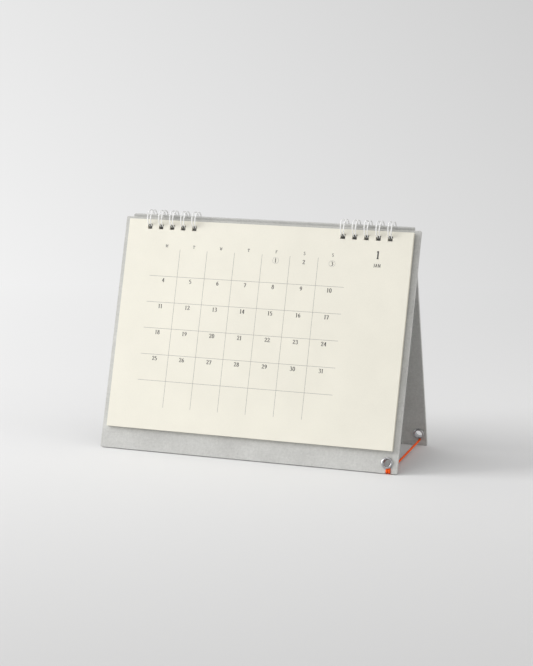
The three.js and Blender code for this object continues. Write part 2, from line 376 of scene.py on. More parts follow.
def cord_material():
    """Braided elastic: slanted yarns that cross on a round core, with painted shade in the grooves
    between them.
    """
    nodes = Nodes("elastic_braid")
    shades = colours()
    mapping = nodes.add("ShaderNodeUVMap", {"uv_map": "braid"})
    apart = nodes.add("ShaderNodeSeparateXYZ", None, {0: mapping})
    along = apart.out("X")
    round_it = apart.out("Y")
    right = nodes.math("SINE", (along + round_it) * math.tau)
    left = nodes.math("SINE", (along - round_it) * math.tau)
    weave = nodes.ramp(right * left, -0.9, 0.9)
    fuzz = nodes.noise(nodes.place(), 4000.0, 2.0, 0.6)
    # Painted shade: where the weave's bump dips, the colour turns to the darker orange
    tone = nodes.ramp(weave * 0.75 + fuzz * 0.25, 0.1, 0.75)
    nodes.set(base_color=nodes.mix(tone, shades.cord_dark, shades.cord))
    nodes.set(roughness=0.62 + fuzz * 0.2, specular_ior_level=0.2)
    nodes.bump(weave * 0.8 + fuzz * 0.2, 0.7, 0.00012)
    return nodes.material


# Frames of the boards and leaves, from the frame's own boxes

def front_frame():
    """The front board's frame: inner face at y = 0, foot at z = 0."""
    s = sizes()
    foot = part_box("front_board")[0].y + s.board_thickness * MM * math.cos(s.board_lean)
    return Matrix.Translation((0, foot, 0)) @ Matrix.Rotation(-s.board_lean, 4, "X")


def stand_frame():
    """The stand's frame: inner face at y = 0, foot at z = 0."""
    s = sizes()
    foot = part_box("back_board")[1].y - s.board_thickness * MM * math.cos(s.stand_lean)
    return Matrix.Translation((0, foot, 0)) @ Matrix.Rotation(s.stand_lean, 4, "X")


def page_frame():
    """The leaves' frame: the block's back at y = 0, its foot at z = 0."""
    s = sizes()
    seat = Matrix.Translation((0, -(s.board_thickness + s.page_seat) * MM, s.page_foot * MM))
    return front_frame() @ seat @ Matrix.Rotation(s.page_tilt, 4, "X")


def hinge():
    """The joint that the stand swings on."""
    return frame["joints"][0]


def eyelet_place(node):
    """The middle of an eyelet."""
    low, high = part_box(node)
    return (low + high) / 2


def hole_places(side):
    """Where one wire's holes are across the leaves, in millimetres; side is -1 or 1."""
    s = sizes()
    reach = (s.holes_per_wire - 1) * s.hole_pitch
    start = -s.page_width / 2 + s.hole_inset
    if side > 0:
        start = s.page_width / 2 - s.hole_inset - reach
    return [start + index * s.hole_pitch for index in range(s.holes_per_wire)]


# Meshes

BRAID_YARNS = 3


def add_mesh(name, points, faces, matrix=None, smooth=False):
    """An object from points and faces, placed by a matrix that goes into its mesh."""
    mesh = bpy.data.meshes.new(name)
    mesh.from_pydata([tuple(point) for point in points], [], faces)
    if matrix is not None:
        mesh.transform(matrix)
    mesh.polygons.foreach_set("use_smooth", [smooth] * len(mesh.polygons))
    mesh.update()
    piece = bpy.data.objects.new(name, mesh)
    bpy.context.scene.collection.objects.link(piece)
    return piece


def finish_piece(piece, body, slot, material, *nodes):
    """Gives a piece its material, hangs it on its body's empty and hides the frame's parts that it
    replaces.
    """
    if material is not None:
        piece.data.materials.append(material)
    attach(piece, body)
    if nodes:
        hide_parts(*nodes)


def smooth_route(points, steps):
    """Points of a centripetal Catmull-Rom curve through the given ones."""
    ends = [2 * points[0] - points[1], *points, 2 * points[-1] - points[-2]]
    route = []
    for index in range(1, len(ends) - 2):
        around = ends[index - 1:index + 3]
        times = [0.0]
        for first, second in zip(around, around[1:]):
            times.append(times[-1] + max((second - first).length, 1e-7) ** 0.5)
        for step in range(steps):
            route.append(curve_point(around, times, step / steps))
    route.append(points[-1].copy())
    return route


def curve_point(around, times, share):
    """One point between the second and third of four points with their times."""
    time = times[1] + (times[2] - times[1]) * share

    def between(first, second, start, end):
        return first + (second - first) * ((time - start) / (end - start))

    line = [between(around[i], around[i + 1], times[i], times[i + 1]) for i in range(3)]
    bend = [between(line[i], line[i + 1], times[i], times[i + 2]) for i in range(2)]
    return between(bend[0], bend[1], times[1], times[2])


def tube_mesh(name, route, radius, sides, repeat=None):
    """A closed tube along a route with flat ends. repeat gives the braid's length."""
    rings = len(route)
    tangents = [(route[min(i + 1, rings - 1)] - route[max(i - 1, 0)]).normalized()
                for i in range(rings)]
    side = tangents[0].orthogonal().normalized()
    points = []
    lengths = [0.0]
    for index, (point, tangent) in enumerate(zip(route, tangents)):
        side = (side - tangent * side.dot(tangent)).normalized()
        other = tangent.cross(side)
        if index:
            lengths.append(lengths[-1] + (point - route[index - 1]).length)
        for corner in range(sides):
            angle = math.tau * corner / sides
            points.append(point + (side * math.cos(angle) + other * math.sin(angle)) * radius)
    faces = []
    for ring in range(rings - 1):
        for corner in range(sides):
            ahead = (corner + 1) % sides
            first = ring * sides
            beyond = first + sides
            faces.append((first + corner, first + ahead, beyond + ahead, beyond + corner))
    faces.append(tuple(reversed(range(sides))))
    faces.append(tuple(range((rings - 1) * sides, rings * sides)))
    piece = add_mesh(name, points, faces, smooth=True)
    piece.data.polygons[-1].use_smooth = False
    piece.data.polygons[-2].use_smooth = False
    if repeat:
        braid = piece.data.uv_layers.new(name="braid")
        for face, polygon in enumerate(piece.data.polygons):
            ring = min(face // sides, rings - 2)
            for corner_index, loop in enumerate(polygon.loop_indices):
                ahead = int(corner_index in (1, 2))
                beyond = int(corner_index in (2, 3))
                around = (face % sides + ahead) / sides * BRAID_YARNS
                distance = lengths[ring + beyond]
                braid.data[loop].uv = (distance / repeat, around)
    return piece


def lathe_mesh(name, profile, segments, matrix):
    """A ring turned round its local Y axis from a closed profile of radius and height."""
    points = []
    faces = []
    count = len(profile)
    for segment in range(segments):
        angle = math.tau * segment / segments
        for radius, height in profile:
            points.append(Vector((radius * math.cos(angle), height, radius * math.sin(angle))))
    for segment in range(segments):
        here = segment * count
        ahead = (segment + 1) % segments * count
        for index in range(count):
            following = (index + 1) % count
            faces.append((here + index, ahead + index, ahead + following, here + following))
    return add_mesh(name, points, faces, matrix, smooth=True)


# Card

def card_piece(name, node, frame_matrix, face, edge):
    """The punched card with softened edges, its cut edges in their own material."""
    s = sizes()
    piece = frame["nodes"][node].copy()
    piece.data = piece.data.copy()
    piece.name = name
    for key in list(piece.keys()):
        del piece[key]
    piece.parent = None
    bpy.context.scene.collection.objects.link(piece)
    work = bmesh.new()
    work.from_mesh(piece.data)
    bmesh.ops.remove_doubles(work, verts=work.verts, dist=1e-6)
    bmesh.ops.dissolve_limit(
        work, angle_limit=math.radians(1), verts=work.verts, edges=work.edges,
        delimit={"NORMAL"},
    )
    sharp = [e for e in work.edges if e.is_manifold and e.calc_face_angle() > math.radians(40)]
    bmesh.ops.bevel(
        work, geom=sharp, offset=s.card_edge * MM, segments=2, profile=0.5, affect="EDGES",
        clamp_overlap=True,
    )
    across = (frame_matrix.to_3x3() @ Vector((0, 1, 0))).normalized()
    work.normal_update()
    for polygon in work.faces:
        polygon.material_index = 0 if abs(polygon.normal.dot(across)) > 0.8 else 1
    bmesh.ops.triangulate(work, faces=work.faces)
    work.to_mesh(piece.data)
    work.free()
    piece.data.materials.clear()
    piece.data.materials.append(face)
    piece.data.materials.append(edge)
    return piece


class CALENDAR_OT_boards(Operator):
    """Dress both card boards."""

    bl_idname = "calendar.boards"
    bl_label = "Card boards"

    def execute(self, context):
        face = card_material("chipboard")
        edge = edge_material()
        front = card_piece("front_card", "front_board", front_frame(), face, edge)
        finish_piece(front, "front", "board", None, "front_board")
        back = card_piece("stand_card", "back_board", stand_frame(), face, edge)
        finish_piece(back, "stand", "stand_card", None, "back_board")
        return {"FINISHED"}


# Leaves

def leaf_slab(left, right, foot, top, back, front, holes, half):
    """Points and faces of one leaf with square holes, in millimetres."""
    outline = [(left, foot), (right, foot), (right, top), (left, top)]
    loops = [outline]
    for x, z in holes:
        west, east = x - half, x + half
        low, high = z - half, z + half
        loops.append([(west, low), (west, high), (east, high), (east, low)])
    flat = [corner for loop in loops for corner in loop]
    triangles = tessellate_polygon([[Vector((x, z, 0)) for x, z in loop] for loop in loops])
    count = len(flat)
    points = [Vector((x, front, z)) for x, z in flat] + [Vector((x, back, z)) for x, z in flat]
    faces = []
    for triangle in triangles:
        a, b, c = (Vector((*flat[index], 0)) for index in triangle)
        corners = triangle if (b - a).cross(c - a).z > 0 else tuple(reversed(triangle))
        faces.append(tuple(corners))
        faces.append(tuple(count + index for index in reversed(corners)))
    start = 0
    for loop in loops:
        for index in range(len(loop)):
            here = start + index
            ahead = start + (index + 1) % len(loop)
            faces.append((ahead, here, here + count, ahead + count))
        start += len(loop)
    return points, faces


class CALENDAR_OT_leaves(Operator):
    """Stack the month leaves on the front board."""

    bl_idname = "calendar.leaves"
    bl_label = "Month leaves"

    def execute(self, context):
        s = sizes()
        stray = random.Random(12)
        pitch = s.page_depth / s.leaf_count
        holes = [(x, s.page_height - s.hole_drop) for x in hole_places(-1) + hole_places(1)]
        points = []
        faces = []
        for index in range(s.leaf_count):
            top_leaf = index == 0
            aside = 0.0 if top_leaf else stray.uniform(-s.leaf_stray, s.leaf_stray)
            drop = 0.0 if top_leaf else stray.uniform(0, s.leaf_stray)
            front = -s.page_depth + index * pitch
            back = front + pitch - s.leaf_gap
            slab, sides = leaf_slab(
                -s.page_width / 2 + aside, s.page_width / 2 + aside, drop, s.page_height - drop,
                back, front, holes, s.hole_side / 2,
            )
            start = len(points)
            points += [point * MM for point in slab]
            faces += [tuple(start + corner for corner in face) for face in sides]
        leaves = add_mesh("month_leaves", points, faces, page_frame())
        finish_piece(leaves, "front", "leaves", paper_material(), "page_block")
        return {"FINISHED"}


# Print

COLUMNS = 7
WEEKS = 5
COLUMN_PITCH = 20.57
WEEK_PITCH = 18.45
FIRST_COLUMN = 30.8
FIRST_NUMBER = 123.7
FIRST_RULE = 108.0
GRID_LEFT = 20.0
GRID_RIGHT = 164.3
GRID_TOP = 127.4
GRID_FOOT = 15.9
INITIALS_HEIGHT = 129.7
WEEKDAY_INITIALS = "MTWTFSS"
FIRST_DAY_COLUMN = 4
DAYS = 31
RINGED_DAYS = (1, 3)
NUMBER_SIZE = 2.85
INITIAL_SIZE = 2.1
INITIAL_WEIGHTS = {"M": 0.65, "W": 0.65}
MONTH_SIZE = 5.3
MONTH_PLACE = (186.3, 131.4)
MONTH_NAME = "JAN"
MONTH_NAME_PLACE = (186.3, 124.1)
MONTH_NAME_SIZE = 2.2
RULE_WIDTH = 0.25
RING_RADIUS = 2.2
RING_WIDTH = 0.16
INK_RISE = 0.012

THICK = 0.19
THIN = 0.085
LETTER_GAP = 0.18

# Each letter: its width, then strokes. A stroke is a tuple of points on a body of height 1;
# "curve" strokes run smoothly through their points and "loop" strokes close on themselves.
LETTERS = {
    "0": (0.56, [("loop", (0.28, 1.0), (0.06, 0.5), (0.28, 0.0), (0.5, 0.5))]),
    "1": (0.4, [("line", (0.2, 1.0), (0.2, 0.0)), ("line", (0.2, 0.99), (0.05, 0.86)),
                ("line", (0.05, 0.03), (0.35, 0.03))]),
    "2": (0.54, [("curve", (0.06, 0.76), (0.14, 0.94), (0.3, 0.98), (0.46, 0.86), (0.43, 0.62),
                  (0.25, 0.34), (0.06, 0.05)),
                 ("line", (0.04, 0.05), (0.5, 0.05)), ("line", (0.49, 0.03), (0.52, 0.2))]),
    "3": (0.52, [("curve", (0.07, 0.84), (0.2, 0.98), (0.38, 0.94), (0.43, 0.75), (0.32, 0.57),
                  (0.2, 0.53)),
                 ("curve", (0.22, 0.53), (0.42, 0.46), (0.48, 0.25), (0.36, 0.05), (0.18, 0.02),
                  (0.05, 0.13))]),
    "4": (0.58, [("line", (0.4, 0.98), (0.04, 0.3)), ("line", (0.03, 0.29), (0.55, 0.29)),
                 ("line", (0.41, 1.0), (0.41, 0.0)), ("line", (0.27, 0.03), (0.53, 0.03))]),
    "5": (0.52, [("line", (0.14, 0.96), (0.46, 0.96)), ("line", (0.13, 0.97), (0.1, 0.54)),
                 ("curve", (0.1, 0.54), (0.26, 0.61), (0.43, 0.5), (0.46, 0.27), (0.34, 0.06),
                  (0.17, 0.02), (0.04, 0.12))]),
    "6": (0.54, [("curve", (0.44, 0.95), (0.26, 0.86), (0.1, 0.58), (0.08, 0.28), (0.2, 0.04),
                  (0.36, 0.05), (0.47, 0.28), (0.4, 0.52), (0.24, 0.57), (0.1, 0.4))]),
    "7": (0.52, [("line", (0.05, 0.95), (0.5, 0.95)), ("line", (0.48, 0.95), (0.2, 0.0)),
                 ("line", (0.05, 0.97), (0.04, 0.8))]),
    "8": (0.54, [("loop", (0.27, 0.98), (0.11, 0.76), (0.27, 0.55), (0.43, 0.76)),
                 ("loop", (0.27, 0.55), (0.06, 0.28), (0.27, 0.01), (0.48, 0.28))]),
    "9": (0.54, [("curve", (0.1, 0.05), (0.28, 0.14), (0.44, 0.42), (0.46, 0.72), (0.34, 0.96),
                  (0.18, 0.95), (0.07, 0.72), (0.14, 0.48), (0.3, 0.43), (0.44, 0.6))]),
    "A": (0.74, [("line", (0.36, 1.0), (0.08, 0.0)), ("line", (0.38, 1.0), (0.66, 0.0)),
                 ("line", (0.18, 0.34), (0.56, 0.34)), ("line", (0.0, 0.03), (0.18, 0.03)),
                 ("line", (0.54, 0.03), (0.76, 0.03))]),
    "F": (0.58, [("line", (0.15, 1.0), (0.15, 0.0)), ("line", (0.03, 0.96), (0.54, 0.96)),
                 ("line", (0.15, 0.52), (0.42, 0.52)), ("line", (0.03, 0.03), (0.28, 0.03)),
                 ("line", (0.54, 0.98), (0.54, 0.78))]),
    "J": (0.42, [("curve", (0.3, 1.0), (0.3, 0.6), (0.3, 0.2), (0.2, 0.0), (0.05, 0.03)),
                 ("line", (0.16, 0.97), (0.44, 0.97))]),
    "M": (0.9, [("line", (0.12, 0.0), (0.12, 1.0)), ("line", (0.14, 1.0), (0.44, 0.1)),
                ("line", (0.44, 0.1), (0.74, 1.0)), ("line", (0.77, 1.0), (0.77, 0.0)),
                ("line", (0.02, 0.03), (0.24, 0.03)), ("line", (0.64, 0.03), (0.9, 0.03)),
                ("line", (0.02, 0.97), (0.16, 0.97)), ("line", (0.74, 0.97), (0.9, 0.97))]),
    "N": (0.78, [("line", (0.12, 0.0), (0.12, 1.0)), ("line", (0.13, 1.0), (0.64, 0.0)),
                 ("line", (0.65, 0.0), (0.65, 1.0)), ("line", (0.02, 0.03), (0.24, 0.03)),
                 ("line", (0.02, 0.97), (0.16, 0.97)), ("line", (0.54, 0.97), (0.78, 0.97))]),
    "S": (0.52, [("curve", (0.44, 0.8), (0.38, 0.95), (0.24, 0.99), (0.09, 0.86), (0.12, 0.64),
                  (0.28, 0.52), (0.44, 0.38), (0.47, 0.16), (0.34, 0.02), (0.17, 0.02),
                  (0.05, 0.2))]),
    "T": (0.68, [("line", (0.34, 1.0), (0.34, 0.0)), ("line", (0.04, 0.96), (0.64, 0.96)),
                 ("line", (0.21, 0.03), (0.47, 0.03)), ("line", (0.04, 0.98), (0.04, 0.78)),
                 ("line", (0.64, 0.98), (0.64, 0.78))]),
    "W": (1.0, [("line", (0.12, 1.0), (0.3, 0.0)), ("line", (0.31, 0.0), (0.5, 0.9)),
                ("line", (0.5, 0.9), (0.7, 0.0)), ("line", (0.71, 0.0), (0.88, 1.0)),
                ("line", (0.0, 0.97), (0.24, 0.97)), ("line", (0.78, 0.97), (1.0, 0.97))]),
}


def stroke_points(kind, corners):
    """A stroke's points: straight, smooth or closed."""
    corners = [Vector(corner) for corner in corners]
    if kind == "line":
        return corners, False
    if kind == "curve":
        return smooth_route(corners, 6), False
    centre = sum(corners, Vector((0, 0))) / len(corners)
    across = (corners[3].x - corners[1].x) / 2
    up = (corners[0].y - corners[2].y) / 2
    angles = [math.tau * step / 32 for step in range(32)]
    return [centre + Vector((across * math.sin(a), up * math.cos(a))) for a in angles], True


def pen_ribbon(route, closed, thick, thin):
    """A ribbon along a stroke, wide where it runs upright and narrow where it runs level."""
    count = len(route)
    points = []
    for index, point in enumerate(route):
        before = route[index - 1] if closed or index else point
        after = route[(index + 1) % count] if closed or index < count - 1 else point
        along = (after - before).normalized()
        half = (thin + (thick - thin) * along.y * along.y) / 2
        across = Vector((-along.y, along.x)) * half
        points += [point + across, point - across]
    faces = []
    for index in range(count if closed else count - 1):
        ahead = (index + 1) % count
        faces.append((2 * index, 2 * index + 1, 2 * ahead + 1, 2 * ahead))
    return points, faces


def print_text(text, x, z, height, weight=1.0):
    """A line of type centred on a point of the leaf, as flat shapes."""
    width = sum(LETTERS[letter][0] for letter in text) + LETTER_GAP * (len(text) - 1)
    start = x - width * height / 2
    foot = z - height / 2
    shapes = []
    for letter in text:
        advance, strokes = LETTERS[letter]
        for kind, *corners in strokes:
            route, closed = stroke_points(kind, corners)
            points, faces = pen_ribbon(route, closed, THICK * weight, THIN * weight)
            shapes.append(([(start + p.x * height, foot + p.y * height) for p in points], faces))
        start += (advance + LETTER_GAP) * height
    return shapes


def print_bar(left, right, foot, top):
    """A flat bar."""
    return [(left, foot), (right, foot), (right, top), (left, top)], [(0, 1, 2, 3)]


def print_ring(x, z, radius, width):
    """A thin ring round a number."""
    corners = ((0, radius), (-radius, 0), (0, -radius), (radius, 0))
    route, closed = stroke_points("loop", corners)
    points, faces = pen_ribbon(route, closed, width, width)
    return [(x + point.x, z + point.y) for point in points], faces


def printed(name, shapes, rise, material):
    """One piece of ink from flat shapes on the top leaf."""
    s = sizes()
    points = []
    faces = []
    for flat, sides in shapes:
        start = len(points)
        points += [Vector((x - s.page_width / 2, -s.page_depth - rise, z)) * MM for x, z in flat]
        faces += [tuple(start + corner for corner in face) for face in sides]
    piece = add_mesh(name, points, faces, page_frame())
    finish_piece(piece, "front", "leaves", material)


class CALENDAR_OT_print(Operator):
    """Print a plain month grid on the top leaf."""

    bl_idname = "calendar.print"
    bl_label = "Month grid"

    def execute(self, context):
        shades = colours()
        half = RULE_WIDTH / 2
        rules = []
        for column in range(1, COLUMNS):
            x = FIRST_COLUMN + (column - 0.5) * COLUMN_PITCH
            rules.append(print_bar(x - half, x + half, GRID_FOOT, GRID_TOP))
        for week in range(WEEKS):
            z = FIRST_RULE - week * WEEK_PITCH
            rules.append(print_bar(GRID_LEFT, GRID_RIGHT, z - half, z + half))
        for day in RINGED_DAYS:
            column = day - 1 + FIRST_DAY_COLUMN
            x = FIRST_COLUMN + column * COLUMN_PITCH
            rules.append(print_ring(x, FIRST_NUMBER, RING_RADIUS, RING_WIDTH))
        printed("month_rules", rules, INK_RISE, ink_material("rule_ink", shades.rule))
        ink = []
        for column, initial in enumerate(WEEKDAY_INITIALS):
            x = FIRST_COLUMN + column * COLUMN_PITCH
            weight = INITIAL_WEIGHTS.get(initial, 1.0)
            ink += print_text(initial, x, INITIALS_HEIGHT, INITIAL_SIZE, weight)
        for day in range(1, DAYS + 1):
            place = day - 1 + FIRST_DAY_COLUMN
            x = FIRST_COLUMN + place % COLUMNS * COLUMN_PITCH
            z = FIRST_NUMBER - place // COLUMNS * WEEK_PITCH
            ink += print_text(str(day), x, z, NUMBER_SIZE)
        ink += print_text("1", *MONTH_PLACE, MONTH_SIZE)
        ink += print_text(MONTH_NAME, *MONTH_NAME_PLACE, MONTH_NAME_SIZE)
        printed("month_numbers", ink, 2 * INK_RISE, ink_material("number_ink", shades.ink))
        return {"FINISHED"}


# Wires

def ring_point(x, length):
    """A point on the ring, at a length along the wire from its root behind the stand."""
    s = sizes()
    angle = s.root_angle - length / s.ring_radius
    centre = Vector(hinge()["pos_m"])
    across = x + s.wire_shift
    reach = Vector((across, s.ring_radius * math.cos(angle), s.ring_radius * math.sin(angle)))
    return centre + reach * MM


def half_loop(share):
    """Half of a loop's width, at a share of the way from its root to its tip."""
    s = sizes()
    return (s.loop_width - s.loop_waist * math.sin(math.tau * share)) / 2


def wire_route(places):
    """One wire's route: pairs round the ring, closed at each tip and joined behind."""
    s = sizes()
    spine = (s.hole_pitch - s.loop_width) / 2
    tip = s.loop_width / 2
    tip_length = math.tau * s.ring_radius - s.seam_gap - tip
    run_steps = 56
    bend_steps = 16
    route = []
    for index, place in enumerate(places):
        for step in range(run_steps + 1):
            share = step / run_steps
            route.append(ring_point(place - half_loop(share), tip_length * share))
        for step in range(1, bend_steps):
            angle = math.pi * step / bend_steps
            x = place - tip * math.cos(angle)
            route.append(ring_point(x, tip_length + tip * math.sin(angle)))
        for step in range(run_steps + 1):
            share = 1 - step / run_steps
            route.append(ring_point(place + half_loop(share), tip_length * share))
        if index < len(places) - 1:
            for step in range(1, bend_steps):
                angle = math.pi * step / bend_steps
                x = place + s.hole_pitch / 2 - spine * math.cos(angle)
                route.append(ring_point(x, -spine * math.sin(angle)))
    return route


class CALENDAR_OT_wires(Operator):
    """Bend the two twin-loop wires."""

    bl_idname = "calendar.wires"
    bl_label = "Twin-loop wires"

    def execute(self, context):
        coating = wire_material()
        for side, hand in ((-1, "left"), (1, "right")):
            radius = sizes().wire_diameter / 2 * MM
            wire = tube_mesh(f"binding_wire_{hand}", wire_route(hole_places(side)), radius, 14)
            finish_piece(wire, "front", "wire", coating, f"ring_wire_{hand}")
        return {"FINISHED"}


# Eyelets

CREST_SHIFT = 0.15
RIM_SHARE = 0.15
ROLL_RISE = 0.02
ROLL_RUNS = (0.06, 0.2)


def eyelet_profile():
    """Half of a rolled eyelet's closed profile and its mirror image, in metres."""
    s = sizes()
    reach = s.board_thickness / 2 + s.flange_seat
    crest = (s.bore_radius + s.flange_radius) / 2 - CREST_SHIFT
    steps = 9
    half = []
    for step in range(steps + 1):
        angle = math.pi / 2 * step / steps
        radius = crest - (crest - s.bore_radius) * math.cos(angle)
        half.append((radius, reach + s.flange_rise * math.sin(angle)))
    for step in range(1, steps + 1):
        angle = math.pi / 2 * step / steps
        radius = crest + (s.flange_radius - crest) * math.sin(angle)
        rise = RIM_SHARE + (1 - RIM_SHARE) * math.cos(angle)
        half.append((radius, reach + s.flange_rise * rise))
    half.append((s.flange_radius - ROLL_RUNS[0], reach + ROLL_RISE))
    half.append((s.flange_radius - ROLL_RUNS[1], reach))
    half.append((s.bore_radius + s.barrel_wall, reach))
    mirrored = [(radius, -height) for radius, height in reversed(half)]
    return [(radius * MM, height * MM) for radius, height in half + mirrored]


class CALENDAR_OT_eyelets(Operator):
    """Set an eyelet in each board."""

    bl_idname = "calendar.eyelets"
    bl_label = "Eyelets"

    def execute(self, context):
        nickel = eyelet_material()
        for node, body, board in (
            ("front_eyelet", "front", front_frame()),
            ("back_eyelet", "stand", stand_frame()),
        ):
            matrix = board.copy()
            matrix.translation = eyelet_place(node)
            ring = lathe_mesh(f"{node}_rolled", eyelet_profile(), 96, matrix)
            finish_piece(ring, body, "eyelet", nickel, node)
        return {"FINISHED"}


# Cord

CORD_ASIDE = 1.2
STAND_CORD_ASIDE = 0.5
GROOVE_DEPTH = 0.5
CORD_GAP = 0.15
STRAND_SHARES = (0.06, 0.5, 0.94)
CORD_STEPS = 8
BRAID_REPEAT = 1.6
PINCH_RUN_IN = 0.7
PINCH_REACH = 1.5

# The cord's parts: name, first and last point of its route, body, and whether it gets its own copy
# of its mesh, as a part that goes slack
CORD_PARTS = (
    ("elastic_stand_end", 0, 4, "stand", False),
    ("elastic_strand", 4, 11, "front", True),
    ("elastic_fold", 11, 24, "front", False),
    ("elastic_hitch", 24, 31, "front", True),
)


def cord_faces():
    """The two card faces that the cord lies on: its foot, up and out directions and rim."""
    s = sizes()
    front = front_frame()
    stand = stand_frame()
    turned = front.to_3x3()
    swung = stand.to_3x3()
    front_x = eyelet_place("front_eyelet").x + CORD_ASIDE * MM
    stand_x = eyelet_place("back_eyelet").x + STAND_CORD_ASIDE * MM
    thickness = s.board_thickness * MM
    front_up = (front.inverted() @ eyelet_place("front_eyelet")).z
    stand_up = (stand.inverted() @ eyelet_place("back_eyelet")).z
    return {
        "front": {
            "foot": front @ Vector((front_x, -thickness, 0)),
            "up": turned @ Vector((0, 0, 1)),
            "out": turned @ Vector((0, -1, 0)),
            "rim": front_up - s.flange_radius * MM,
        },
        "stand": {
            "foot": stand @ Vector((stand_x, 0, 0)),
            "up": swung @ Vector((0, 0, 1)),
            "out": swung @ Vector((0, -1, 0)),
            "rim": stand_up - s.flange_radius * MM,
        },
    }


def cord_points(faces):
    """The cord's route, listed in cord units of which fifteen make its diameter: from the
    stand's eyelet to the fold on the front board and back to the hitch behind it."""
    s = sizes()
    unit = s.cord_diameter / 15 * MM
    pinched = (-GROOVE_DEPTH + CORD_GAP + s.cord_pinch / 2) * MM / unit
    leg = s.cord_leg / 2 * MM / unit
    front_foot = front_frame().translation

    def on(face, x, up, out):
        base = faces[face]
        point = base["foot"] + (base["up"] * up + base["out"] * out) * unit
        return point + Vector((x * unit, 0, 0))

    def behind(x, y, z):
        return Vector((faces["front"]["foot"].x + x * unit, front_foot.y + y * unit, z * unit))

    start = on("stand", 0.5, 47.5, 20)
    end = behind(-3, 90, 17.5)
    return [
        on("stand", 0, 61, pinched),
        on("stand", 0, 56, pinched),
        on("stand", 0, 50, 3),
        on("stand", 0, 47.2, 11),
        start,
        *(start.lerp(end, share) for share in STRAND_SHARES),
        end,
        behind(-2.5, 65, 13),
        behind(-6, 40, 10),
        behind(-8.5, 20, 9.2),
        on("front", -leg, 9, -17),
        on("front", -leg, 9, -6),
        on("front", -leg, 11, 1.5),
        on("front", -leg, 19, 4.8),
        on("front", -leg + 0.5, 26, 2.5),
        on("front", -7, 31.5, pinched),
        on("front", -3, 34.5, pinched),
        on("front", 3, 34.5, pinched),
        on("front", 7, 31.5, pinched),
        on("front", leg - 0.5, 26, 2.5),
        on("front", leg, 19, 4.8),
        on("front", leg, 11, 1.5),
        on("front", leg, 9, -6),
        on("front", leg, 9, -17),
        behind(10, 20, 9.2),
        behind(13, 40, 9.5),
        behind(14, 60, 13),
        behind(7.5, 74, 28),
        behind(-5, 79, 32),
        behind(-17.5, 75, 23),
        behind(-20, 62, 10.5),
        behind(-22, 48, 9.5),
    ]


def smoothstep(value, low, high):
    """0 below low, 1 above high, and smooth between."""
    share = min(max((value - low) / (high - low), 0.0), 1.0)
    return share * share * (3 - 2 * share)


def pinch_under_flange(mesh, face):
    """Squeezes the elastic flat against the card under an eyelet's flange."""
    s = sizes()
    pinched = (-GROOVE_DEPTH + CORD_GAP + s.cord_pinch / 2) * MM
    for vertex in mesh.vertices:
        reach = vertex.co - face["foot"]
        out = reach.dot(face["out"])
        share = smoothstep(reach.dot(face["up"]), face["rim"] - PINCH_RUN_IN * MM, face["rim"])
        if abs(out) < PINCH_REACH * MM:
            squeezed = pinched + (out - pinched) * s.cord_pinch / s.cord_diameter
            vertex.co += face["out"] * (squeezed - out) * share


class CALENDAR_OT_cord(Operator):
    """Run the elastic cord between the eyelets."""

    bl_idname = "calendar.cord"
    bl_label = "Elastic cord"

    def execute(self, context):
        radius = sizes().cord_diameter / 2 * MM
        faces = cord_faces()
        route = smooth_route(cord_points(faces), CORD_STEPS)
        braid = cord_material()
        for name, first, last, body, slack in CORD_PARTS:
            part = route[first * CORD_STEPS:last * CORD_STEPS + 1]
            cord = tube_mesh(name, part, radius, 20, BRAID_REPEAT * MM)
            for face in faces.values():
                pinch_under_flange(cord.data, face)
            cord.data.update()
            finish_piece(cord, body, "elastic", braid, "cord")
            if slack:
                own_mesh(cord)
        return {"FINISHED"}


# Stage

IMAGE_WIDTH = 533
SENSOR_WIDTH = 36.0
CAMERA_PLACE = (0.49079, -1.29503, 0.32574)
CAMERA_AZIMUTH = 20.82
CAMERA_PITCH = 10.0
CAMERA_ROLL = 0.299
FOCAL_PIXELS = 2010.8
FLOOR_REACH = 60.0
WORLD_COLOUR = (0.995, 0.992, 0.99)
WORLD_STRENGTH = 0.61

# Each lamp: its name, place, the point it faces, width and power
LAMPS = (
    ("key", (-1.74, -0.66, 0.78), (0, 0, 0.08), 0.95, 32.0),
    ("top_fill", (-0.4, -0.7, 1.9), (0, 0, 0.08), 1.3, 7.0),
    ("reflector", (1.5, -0.1, 0.45), (0, 0.02, 0.06), 1.0, 4.0),
)

# The table's painted light: the painted shade where its front dims, where it turns into a glow
# that only the camera sees, and that painted glow, which fans out from a line in front of the
# calendar and falls off to the right
FRONT_PAINTED_SHADE = 0.82
FRONT_PAINTED_SHADE_FROM = -0.45
GLOW_FROM = 0.12
GLOW_FULL = 0.75
FAN_PLACE = 1.385
FAN_LEAST = 0.4
GLOW_BASE = 0.715
GLOW_NEAR = 0.17
GLOW_NEAR_MOST = 0.62
GLOW_SLOPE = 0.66


def add_light(name, place, aim, width, power):
    """A square soft light that faces a point."""
    data = bpy.data.lights.new(name, "AREA")
    data.shape = "SQUARE"
    data.size = width
    data.energy = power
    light = bpy.data.objects.new(name, data)
    light.location = place
    light.rotation_euler = (Vector(aim) - Vector(place)).to_track_quat("-Z", "Y").to_euler()
    bpy.context.scene.collection.objects.link(light)


